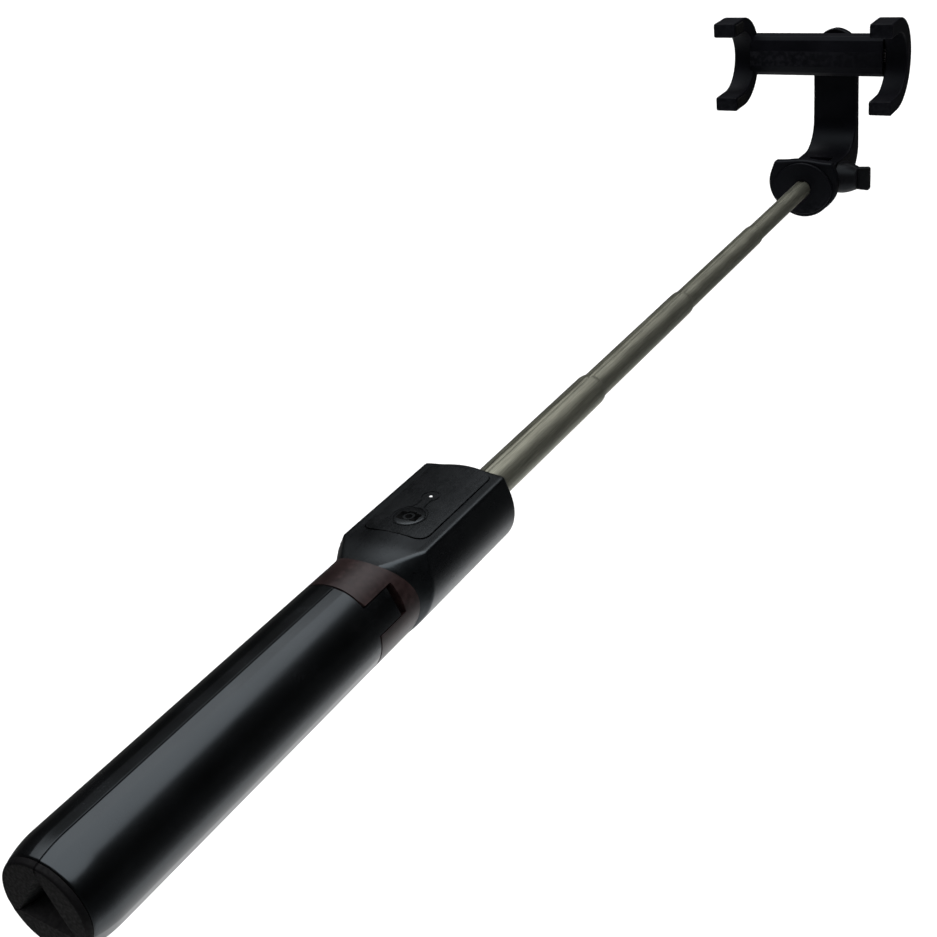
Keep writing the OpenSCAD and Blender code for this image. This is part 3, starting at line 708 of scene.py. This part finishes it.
def remote():
    """The lift-off remote: its lid, button, camera icon, lamp and hollow tray."""
    half = REMOTE_HALF
    corners = [
        (-half, RECESS[0], 3),
        (half, RECESS[0], 3),
        (half, RECESS[1], 3),
        (-half, RECESS[1], 3),
    ]
    plan = rounded(corners, 10)
    lid = crowned("remote_lid", plan, 8.3, PANEL_Z)
    groove_out = prism("groove", keyhole(0.0), "z", PANEL_Z - 0.28, PANEL_Z + 1, edge=0.01)
    groove_in = prism("groove_core", keyhole(-0.38), "z", PANEL_Z - 1, PANEL_Z + 2, edge=0.01)
    cut(groove_out, groove_in)
    well = turned("well", [(PANEL_Z - 1.5, 4.38), (PANEL_Z + 1, 4.38)], "z", (0, BUTTON_Y, 0))
    lamp_hole = turned("lamp_hole", [(PANEL_Z - 1.5, 0.6), (PANEL_Z + 1, 0.6)], "z", (0, LED_Y, 0), steps=48)
    cut(lid, groove_out, well, lamp_hole, sharp=30)
    finish_piece(lid, "remote", "remote_black", REMOTE_BLACK, "remote_cover")

    profile = [(10.7, 1.0), (10.95, 1.0), (11.0, 4.1), (11.1, BUTTON_R)]
    profile += [(12.2, BUTTON_R), (12.33, 4.26), (12.37, 4.15), (12.37, 2.0), (12.37, 0.0)]
    button = turned("button_cap", profile, "z", (0, BUTTON_Y, 0), sharp=20)
    finish_piece(button, "shutter", "button_black", BUTTON_BLACK, "shutter_button")

    # The camera icon, with a ring for its lens
    body = rounded([(-3.1, -2.1, 0.4), (3.1, -2.1, 0.4), (3.1, 1.5, 0.4), (-3.1, 1.5, 0.4)], 5)
    hump = rounded([(-1.5, 1.2, 0), (1.5, 1.2, 0), (1.0, 2.2, 0.2), (-1.0, 2.2, 0.2)], 4)
    icon = prism("camera_icon", [(x, y + BUTTON_Y) for x, y in body], "z", 12.3, 12.41, edge=0.01)
    hump_piece = prism("icon_hump", [(x, y + BUTTON_Y) for x, y in hump], "z", 12.3, 12.41, edge=0.01)
    join(icon, hump_piece)
    lens_y = BUTTON_Y - 0.3
    cut(icon, turned("icon_ring", [(12.2, 1.65), (12.6, 1.65)], "z", (0, lens_y, 0), steps=48))
    join(icon, turned("icon_dot", [(12.3, 1.0), (12.41, 1.0)], "z", (0, lens_y, 0), steps=32))
    finish_piece(icon, "shutter", "button_black", ICON_BLACK)

    profile = [(10.7, 1.3), (11.1, 1.3), (11.2, 0.5), (12.3, 0.5), (12.38, 0.44), (12.42, 0.3), (12.43, 0.0)]
    lens = turned("lamp_lens", profile, "z", (0, LED_Y, 0), steps=48, sharp=50)
    finish_piece(lens, "remote", "lamp_white", LAMP_WHITE, "led_lens")

    low = prism("remote_tray", plan, "z", 7.3, 8.25, edge=0.2)
    inner = rounded([(x * 0.886, 146.2 + (y - 146.2) * 0.938, 2) for x, y, r in corners], 8)
    wall = prism("remote_wall", inner, "z", 7.6, 9.7, edge=0.05)
    join(low, wall)
    room = rounded([(x * 0.79, 146.2 + (y - 146.2) * 0.888, 1.5) for x, y, r in corners], 8)
    cut(low, prism("remote_room", room, "z", 7.95, 12.0, edge=0.02))
    finish_piece(low, "remote", "remote_base_black", FRAME_BLACK, "remote_base")


# ---------------------------------------------------------------- pole


def flute_angles():
    """Directions round a tube, close together over the groove at the top."""
    fine = [math.radians(90 + k * 1.25) for k in range(-14, 15)]
    rest = [math.radians(107.5 + k * 325 / 78) for k in range(1, 78)]
    return fine + rest


def tube_outline(r, groove_r, centre, grow=0.0):
    """A circle of radius r with the round anti-turn groove pressed into its top."""
    points = []
    for a in flute_angles():
        off = abs(a - math.pi / 2)
        reach = centre * math.sin(off) if off < 1 else 99
        radius = r
        if reach < groove_r:
            radius = min(r, centre * math.cos(off) - math.sqrt(groove_r**2 - reach**2))
        points.append(((radius + grow) * math.cos(a), (radius + grow) * math.sin(a)))
    return points


def dimpled(ring, y, at, angle, radius, depth, size):
    """Presses a small dent into a ring of points near (at, angle)."""
    result = []
    for x, yy, z in ring:
        a = math.atan2(z, x) - math.radians(angle)
        far = math.hypot(a * radius / size, (y - at) / size)
        push = 1 - depth / radius * math.exp(-far * far * 2)
        result.append((x * push, yy, z * push))
    return result


def tube(index):
    """One pole tube with its groove, and, but for the last, a narrowed mouth with a small dent."""
    node, body, r, wall, low, high = TUBES[index]
    centre = r + KEY_LIFT
    rings = []
    has_lip = index < 3
    stations = [low, low + 0.4] + [low + (high - 8 - low) * k / 8 for k in range(1, 9)]
    stations += [high - 7.5 + 0.45 * k for k in range(14)]
    for y in stations:
        ring = place(tube_outline(r, KEY_R, centre, -0.12 if y == low else 0.0), "y", y)
        if has_lip and y > high - 8:
            ring = dimpled(ring, y, high - 4.4, -38, r, 0.32, 0.75)
        rings.append(ring)
    if has_lip:
        inner_r = TUBES[index + 1][2] + 0.1
        inner_centre = TUBES[index + 1][2] + KEY_LIFT
        drop = r - inner_r
        for t, lift in ((0.3, 0.55), (0.55, 0.3), (0.8, 0.1), (1.0, 0.0)):
            blend = 1 - t * 0.75
            radius = inner_r + drop * blend
            middle = inner_centre + (centre - inner_centre) * blend
            rings.append(place(tube_outline(radius, KEY_R - 0.05, middle), "y", high - lift))
        rings.append(place(tube_outline(inner_r, KEY_R - 0.1, inner_centre), "y", high - 0.15))
        rings.append(place(tube_outline(inner_r, KEY_R - 0.1, inner_centre), "y", high - 1.2))
    bump_r = KEY_R + 0.8 * wall
    inside = [high - 1.25] if has_lip else [high]
    inside += [high - 20, (low + high) / 2, low + 10, low + 0.2]
    for y in inside:
        rings.append(place(tube_outline(r - wall, bump_r, centre), "y", y))
    piece = loft(node + "_skin", rings, sharp=50, cyclic=True)
    finish_piece(piece, body, "tube_olive", POLE_METAL, node)


# ---------------------------------------------------------------- head


def head():
    """The end cap: a plate shaped like the housing, a raised face and the hinge lug."""
    base = [(x * 0.972, z * 0.972) for x, z in housing_section(20, PANEL_Z)]
    plate = prism("cap_plate", base, "y", CAP_Y[0] + 0.9, CAP_Y[1], edge=0.8, edge_high=0.5, steps=4)
    lens_half = math.degrees(math.acos(CAP_FACE_SHIFT / CAP_FACE_R))
    face = arc(0, -CAP_FACE_SHIFT, CAP_FACE_R, 90 - lens_half, 90 + lens_half, 48)[:-1]
    face += arc(0, CAP_FACE_SHIFT, CAP_FACE_R, 270 - lens_half, 270 + lens_half, 48)[:-1]
    step = prism("cap_face", face, "y", CAP_Y[0], CAP_Y[1] - 1, edge=0.35, steps=4)
    join(plate, step)
    side = (
        arc(HINGE_Y, 0, HINGE_R, 90, -90, 32)
        + [(CAP_Y[1] + 2.2, -HINGE_R), (CAP_Y[1] + 0.7, -HINGE_R - 0.6), (CAP_Y[1] - 1, -HINGE_R - 1.6)]
        + [(CAP_Y[1] - 1, HINGE_R + 1.6), (CAP_Y[1] + 0.7, HINGE_R + 0.6), (CAP_Y[1] + 2.2, HINGE_R)]
    )
    lug = prism("cap_lug", side, "x", -4.5, 4.5, edge=0.4)
    join(plate, lug)
    socket = turned("cap_socket", [(430, 3.6), (447.8, 3.6)], "y", steps=64)
    bolt_hole = turned("cap_bore", [(-6, 1.56), (6, 1.56)], "x", (0, HINGE_Y, 0), steps=48)
    cut(plate, socket, bolt_hole)
    plate.name = "end_cap_body"
    finish_piece(plate, "head", "cap_black", CAP_BLACK, "end_cap")


def arm():
    """The bent arm: a web that curves up into the clamp's plate, with two ears beside the lug."""
    bend_in, bend_out = 12.5, 10.0
    start = HINGE_Y + HINGE_R + 0.9
    inner, outer = [(start, WEB_Z[1])], [(start, WEB_Z[0])]
    inner += arc(PLATE_Y[0] - bend_in, WEB_Z[1] + bend_in, bend_in, -90, 0, 20)
    outer += arc(PLATE_Y[1] - bend_out, WEB_Z[0] + bend_out, bend_out, -90, 0, 20)
    for k in range(1, 4):
        z = WEB_Z[1] + bend_in + (PIVOT_Z - WEB_Z[1] - bend_in) * k / 3
        inner.append((PLATE_Y[0], z))
        outer.append((PLATE_Y[1], z))
    for k in range(1, 25):
        a = math.radians(90 * k / 24)
        z = PIVOT_Z + ARM_HALF * math.sin(a)
        inner.append((PLATE_Y[0], z))
        outer.append((PLATE_Y[1], z))
    rings = []
    for i, (a, b) in enumerate(zip(inner, outer)):
        half = ARM_HALF
        rise = a[1] - PIVOT_Z
        if rise > 0:
            half = math.sqrt(max(0.0, ARM_HALF**2 - rise**2))
        half = max(half, 0.9)
        thick = math.dist(a, b)
        lean = (Vector(b) - Vector(a)).normalized()
        soft = min(0.8, half * 0.45)
        section = rounded(
            [(-half, 0, soft), (half, 0, soft), (half, thick, soft), (-half, thick, soft)], 4
        )
        rings.append([(x, a[0] + lean.x * d, a[1] + lean.y * d) for x, d in section])
    body = loft("arm_body", rings, sharp=45)
    for side in (-1, 1):
        eye = (
            arc(HINGE_Y, 0, HINGE_R, 90, 270, 32)
            + [(start + 4, WEB_Z[0]), (start + 4, WEB_Z[1])]
            + [(start - 3, WEB_Z[1] + 0.1)]
        )
        low, high = (4.9, 9.5) if side > 0 else (-9.5, -4.9)
        ear = prism("arm_ear", eye, "x", low, high, edge=0.5)
        join(body, ear, sharp=45)
    bolt_hole = turned("arm_bore", [(-11, 1.56), (11, 1.56)], "x", (0, HINGE_Y, 0), steps=48)
    nut_well = turned("nut_well", [(-11, 2.9), (-7.3, 2.9)], "x", (0, HINGE_Y, 0), steps=6)
    well = turned("pivot_well", [(487.0, 5.0), (492, 5.0)], "y", (0, 0, PIVOT_Z), steps=64)
    shaft = turned("pivot_hole", [(480, 2.1), (492, 2.1)], "y", (0, 0, PIVOT_Z), steps=48)
    cut(body, bolt_hole, nut_well, well, shaft, sharp=45)
    finish_piece(body, "arm", "arm_black", ARM_BLACK, "arm")

    profile = [(488.7, 4.0), (488.6, 4.9), (489.05, 4.95), (489.2, 4.7), (489.2, 0.0)]
    cap = turned("pivot_badge", profile, "y", (0, 0, PIVOT_Z), sharp=50)
    finish_piece(cap, "arm", "arm_black", ARM_BLACK, "pivot_cap")


def knob():
    """The tightening knob: a domed boss with a flat wing."""
    profile = [(10.15, 0.0), (10.15, 6.1), (10.3, 6.45), (10.8, 6.6), (11.6, 6.6)]
    for k in range(1, 13):
        t = k / 12
        profile.append((11.6 + 6.7 * t, 6.6 - 1.9 * t**1.8))
    profile += [(18.6, 4.3), (18.75, 3.6), (18.8, 0.0)]
    boss = turned("knob_boss", profile, "x", (0, HINGE_Y, 0), sharp=50)
    blade = rounded([(16.5, -4.6, 0), (23.5, -5.0, 1.0), (23.5, 5.0, 1.0), (16.5, 4.6, 0)], 6)
    wing = prism("knob_wing", blade, "y", HINGE_Y - 1.3, HINGE_Y + 1.3, edge=0.5)
    join(boss, wing)
    boss.name = "thumb_knob_body"
    finish_piece(boss, "knob", "knob_grey", KNOB_GREY, "thumb_knob")


# ---------------------------------------------------------------- clamp


def jaw_outline():
    """Side view of a jaw: a ring open towards -Y with two straight fingers."""
    tip = 1.0
    outer = arc(RING_Y, 0, RING_OUT, 90, -90, 64)
    low = [(FINGER_Y + tip, -RING_OUT), (FINGER_Y + 0.3, -RING_OUT + 0.25), (FINGER_Y, -RING_OUT + tip)]
    low += [(FINGER_Y, -RING_IN - tip), (FINGER_Y + 0.3, -RING_IN - 0.25), (FINGER_Y + tip, -RING_IN)]
    inner = arc(RING_Y, 0, RING_IN, -90, 90, 56)
    high = [(y, -z) for y, z in reversed(low)]
    return [(y, z + PIVOT_Z) for y, z in outer + low + inner + high]


def bar_outline():
    """Section of the clamp bar, with the long facets of its front."""
    corners = [
        (BAR_Y[0] + 2.2, -BAR_HALF, 0.6),
        (BAR_Y[1], -BAR_HALF, 0.7),
        (BAR_Y[1], BAR_HALF, 0.7),
        (BAR_Y[0] + 2.2, BAR_HALF, 0.6),
        (BAR_Y[0] + 0.9, BAR_HALF - 1.6, 0.8),
        (BAR_Y[0], 2.5, 1.5),
        (BAR_Y[0], -4.0, 1.5),
        (BAR_Y[0] + 0.9, -BAR_HALF + 1.6, 0.8),
    ]
    return [(y, z + PIVOT_Z) for y, z in rounded(corners, 5)]


def rectangle(low_u, high_u, low_v, high_v, radius, steps=6):
    """A rectangle's outline with its corners rounded by radius."""
    corners = ((low_u, low_v), (high_u, low_v), (high_u, high_v), (low_u, high_v))
    return rounded([(u, v, radius) for u, v in corners], steps)


def pads(name, body, node, face_x, outward):
    """A ribbed rubber pad on the upper and the lower finger."""
    pieces = []
    for side in (-1, 1):
        centre_z = PIVOT_Z + side * (RING_IN + RING_OUT) / 2
        y0 = FINGER_Y + 1.9
        y1 = FINGER_Y + 10.1
        plan = rectangle(y0, y1, centre_z - 2, centre_z + 2, 0.6)
        low, high = sorted((face_x - outward * 0.4, face_x + outward * 0.45))
        slab = prism("pad", plan, "x", low, high, edge=0.05)
        for k in range(7):
            y = y0 + 0.9 + k * (y1 - y0 - 1.8) / 6
            rib_side = rectangle(y - 0.32, y + 0.32, centre_z - 1.7, centre_z + 1.7, 0.15, 3)
            a, b = sorted((face_x + outward * 0.3, face_x + outward * 0.6))
            join(slab, prism("rib", rib_side, "x", a, b, edge=0.1, steps=2))
        pieces.append(slab)
    join(pieces[0], pieces[1])
    pieces[0].name = name
    finish_piece(pieces[0], body, "pad_rubber", PAD_RUBBER, node)


def clamp():
    """The bar with its fixed jaw, its back cover and screws, and the sliding jaw."""
    jaw = prism("clamp_jaw", jaw_outline(), "x", FIXED_X - JAW_T, FIXED_X, edge=0.55, steps=4)
    bar = prism("clamp_rail", bar_outline(), "x", FIXED_X - 1, SLIDE_X - 0.62, edge=0.05)
    join(jaw, bar)
    channel = rectangle(478.0, 482.3, PIVOT_Z - 5.9, PIVOT_Z + 5.9, 0)
    window = [(FIXED_X + 2.0, PIVOT_Z - 6.6, 1), (SLIDE_X - 2.6, PIVOT_Z - 6.6, 1),
              (SLIDE_X - 2.6, PIVOT_Z + 6.6, 1), (FIXED_X + 2.0, PIVOT_Z + 6.6, 1)]
    cut(
        jaw,
        prism("channel", channel, "x", FIXED_X + 2.2, SLIDE_X + 4, edge=0.02),
        prism("window", rounded(window, 5), "y", 482.0, 486.0, edge=0.02),
    )
    jaw.name = "clamp_body"
    finish_piece(jaw, "clamp", "clamp_black", CLAMP_BLACK, "clamp_bar")

    cover_plan = [(x * 0.997, PIVOT_Z + (z - PIVOT_Z) * 0.985, r) for x, z, r in window]
    cover = prism("clamp_cover", rounded(cover_plan, 5), "y", 482.5, BAR_Y[1] - 0.05, edge=0.2)
    holes = []
    for x in SCREW_X:
        for z in SCREW_Z:
            holes.append(turned("hole", [(483.6, 1.05), (486, 1.05)], "y", (x, 0, PIVOT_Z + z), steps=32))
    holes.append(turned("hole", [(481, 1.25), (486, 1.25)], "y", (0, 0, PIVOT_Z), steps=32))
    cut(cover, *holes)
    finish_piece(cover, "clamp", "cover_black", CLAMP_BLACK, "bar_cover")

    profile = [(483.0, 0.5), (483.6, 0.55), (483.62, 0.95), (484.0, 1.0), (484.1, 0.85), (484.1, 0)]
    slit = [(-0.65, -0.12), (0.65, -0.12), (0.65, 0.12), (-0.65, 0.12)]
    for index, (x, z) in enumerate((x, z) for x in SCREW_X for z in SCREW_Z):
        screw = turned("cover_screw", profile, "y", (x, 0, PIVOT_Z + z), steps=32, sharp=50)
        for a in (0, 90):
            blade = prism("cross", slit, "y", 483.8, 485, edge=0.01)
            turn(blade, a + 20 * index)
            blade.data.transform(Matrix.Translation(Vector((x, 0, PIVOT_Z + z)) * MM))
            cut(screw, blade)
        screw.name = f"cover_screw_{index + 1}"
        finish_piece(screw, "clamp", "screw_steel", DARK_STEEL, *(["bar_screws"] if index == 0 else []))

    slide = prism("slide_body", jaw_outline(), "x", SLIDE_X, SLIDE_X + JAW_T, edge=0.55, steps=4)
    tongue = rectangle(479.2, 481.0, PIVOT_Z - 2.4, PIVOT_Z + 2.4, 0)
    cut(slide, prism("tongue_slot", tongue, "x", SLIDE_X - 2, SLIDE_X + 5, edge=0.02))
    slide.name = "slide_jaw_body"
    finish_piece(slide, "slider", "clamp_black", CLAMP_BLACK, "slide_jaw")
    pads("fixed_pad_pair", "clamp", "fixed_pads", FIXED_X, 1)
    pads("slide_pad_pair", "slider", "slide_pads", SLIDE_X, -1)


def springs():
    """Two real coils of wire in place of the CAD's ribbed sleeves."""
    low, high = SPRING_X
    for index, side in enumerate((-1, 1)):
        curve = bpy.data.curves.new("coil", "CURVE")
        curve.dimensions = "3D"
        curve.bevel_depth = WIRE_R * MM
        curve.bevel_resolution = 3
        spline = curve.splines.new("POLY")
        count = SPRING_TURNS * POINTS_PER_TURN + 1
        spline.points.add(count - 1)
        for k in range(count):
            a = 2 * math.pi * k / POINTS_PER_TURN
            x = low + 0.3 + (high - low - 0.6) * k / (count - 1)
            y = COIL_Y + COIL_R * math.cos(a)
            z = PIVOT_Z + side * COIL_Z + COIL_R * math.sin(a)
            spline.points[k].co = (x * MM, y * MM, z * MM, 1)
        coil = bpy.data.objects.new("coil", curve)
        bpy.context.scene.collection.objects.link(coil)
        mesh = bpy.data.meshes.new_from_object(coil.evaluated_get(bpy.context.evaluated_depsgraph_get()))
        mesh.shade_smooth()
        wire = bpy.data.objects.new(f"return_spring_{index + 1}", mesh)
        bpy.context.scene.collection.objects.link(wire)
        bpy.data.objects.remove(coil)
        finish_piece(wire, "clamp", "spring_steel", STEEL, *(["clamp_spring"] if index == 0 else []))


# ---------------------------------------------------------------- carried-over CAD nodes

CAD_LOOKS = {
    "leg_pin_right": STEEL,
    "leg_pin_left": STEEL,
    "leg_pin_bottom": STEEL,
    "inner_frame": FRAME_BLACK,
    "housing_screws": DARK_STEEL,
    "guide_tube": ALLOY,
    "guide_plug": FRAME_BLACK,
    "mouth_bush": FRAME_BLACK,
    "circuit_board": BOARD,
    "switch_body": STEEL,
    "coin_cell": STEEL,
    "cell_contact": BRASS,
    "bush_1": WHITE_PLASTIC,
    "bush_2": WHITE_PLASTIC,
    "bush_3": WHITE_PLASTIC,
    "bush_4": WHITE_PLASTIC,
    "cap_rivet": STEEL,
    "hinge_bolt": STEEL,
    "hinge_nut": DARK_STEEL,
    "hinge_washers": WHITE_PLASTIC,
    "pivot_screw": STEEL,
    "pivot_washer": STEEL,
    "slide_tongue": STRIP_STEEL,
}


def dress_cad():
    """Materials and softened edges for the CAD nodes that stay as they are."""
    for name, material in CAD_LOOKS.items():
        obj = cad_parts[name]
        obj.data.materials.clear()
        obj.data.materials.append(material)
        bevel = obj.modifiers.new("soft_edges", "BEVEL")
        bevel.width = 0.08 * MM
        bevel.segments = 2
        bevel.limit_method = "ANGLE"
        bevel.angle_limit = math.radians(40)


# ---------------------------------------------------------------- stage


# Skirt brightness against height in metres
SKIRT = (
    (-1.1, 1.0),
    (-1.05, 0.9),
    (-0.89, 0.58),
    (-0.76, 0.38),
    (-0.47, 0.11),
    (-0.3, 0.06),
    (0.02, 0.04),
)


def spread(ramp, stops):
    """Fills a colour ramp with grey stops."""
    while len(ramp.elements) < len(stops):
        ramp.elements.new(0.5)
    for element, (at, level) in zip(ramp.elements, stops):
        element.position = at
        element.color = (level, level, level, 1)


def skirt_material():
    """A glow that follows SKIRT up the height."""
    s = Shader("skirt", (0.0, 0.0, 0.0), 1.0, specular=0.0)
    split = s.node("ShaderNodeSeparateXYZ")
    s.link(s.coords, split.inputs["Vector"])
    ramp = s.node("ShaderNodeValToRGB")
    s.link(s.ramp(split.outputs["Z"], SKIRT[0][0], SKIRT[-1][0]), ramp.inputs["Fac"])
    spread(ramp.color_ramp, [((z - SKIRT[0][0]) / (SKIRT[-1][0] - SKIRT[0][0]), level) for z, level in SKIRT])
    s.link(ramp.outputs["Color"], s.shader.inputs["Emission Color"])
    s.shader.inputs["Emission Strength"].default_value = 1.0
    return s.material


# Sky brightness against the upward part of a direction: a soft box overhead that fades to dark walls
SKY = (
    (0.0, 0.01),
    (0.3, 0.01),
    (0.45, 0.03),
    (0.55, 0.05),
    (0.65, 0.14),
    (0.72, 0.42),
    (0.8, 0.66),
    (1.0, 0.8),
)


def stage():
    """A plain white floor far below, soft light from straight above and dark walls round about."""
    size, depth = 20.0, -1.1
    verts = [(-size, -size, depth), (size, -size, depth), (size, size, depth), (-size, size, depth)]
    mesh = bpy.data.meshes.new("floor")
    mesh.from_pydata(verts, [], [(0, 1, 2, 3)])
    floor = bpy.data.objects.new("floor", mesh)
    bpy.context.scene.collection.objects.link(floor)
    mesh.materials.append(floor_material())

    # A dark skirt that only reflections see: the glossy plastic's horizon, brighter towards the floor
    rim = [(1000 * math.cos(a), 250 + 1000 * math.sin(a)) for a in (2 * math.pi * k / 96 for k in range(96))]
    faces = [(k, (k + 1) % 96, 96 + (k + 1) % 96, 96 + k) for k in range(96)]
    skirt = make("skirt", [(x, y, z) for z in (-1095, 20) for x, y in rim], faces)
    skirt.data.materials.append(skirt_material())
    skirt.visible_camera = False
    skirt.visible_diffuse = False
    skirt.visible_shadow = False
    skirt.visible_transmission = False

    lamp = bpy.data.lights.new("overhead", "SUN")
    lamp.energy = 3.0
    lamp.angle = math.radians(90)
    lamp.specular_factor = 0.0
    overhead = bpy.data.objects.new("overhead", lamp)
    bpy.context.scene.collection.objects.link(overhead)

    world = bpy.data.worlds.new("studio")
    bpy.context.scene.world = world
    world.use_nodes = True
    tree = world.node_tree
    tree.nodes.clear()
    coords = tree.nodes.new("ShaderNodeTexCoord")
    split = tree.nodes.new("ShaderNodeSeparateXYZ")
    ramp = tree.nodes.new("ShaderNodeValToRGB")
    background = tree.nodes.new("ShaderNodeBackground")
    output = tree.nodes.new("ShaderNodeOutputWorld")
    tree.links.new(coords.outputs["Generated"], split.inputs["Vector"])
    tree.links.new(split.outputs["Z"], ramp.inputs["Fac"])
    tree.links.new(ramp.outputs["Color"], background.inputs["Color"])
    tree.links.new(background.outputs["Background"], output.inputs["Surface"])
    background.inputs["Strength"].default_value = 1.0
    spread(ramp.color_ramp, SKY)


def camera():
    """The photograph's viewpoint, and plain colour handling."""
    data = bpy.data.cameras.new("camera")
    data.sensor_width = 36.0
    data.lens = 54.75
    data.clip_start = 0.01
    data.clip_end = 50.0
    cam = bpy.data.objects.new("camera", data)
    bpy.context.scene.collection.objects.link(cam)
    right = Vector((0.85399, 0.50690, -0.11723))
    up = Vector((-0.15464, 0.46245, 0.87306))
    back = right.cross(up)
    cam.matrix_world = Matrix.Translation(Vector((196.83, -121.23, 198.12)) * MM) @ Matrix(
        (
            (right.x, up.x, back.x, 0),
            (right.y, up.y, back.y, 0),
            (right.z, up.z, back.z, 0),
            (0, 0, 0, 1),
        )
    )
    bpy.context.scene.camera = cam
    bpy.context.scene.view_settings.view_transform = "Standard"


camera()
stage()
for leg_name, leg_angle in LEGS.items():
    leg(leg_name, leg_angle)
hub()
housing()
remote()
for tube_index in range(4):
    tube(tube_index)
head()
arm()
knob()
clamp()
springs()
dress_cad()
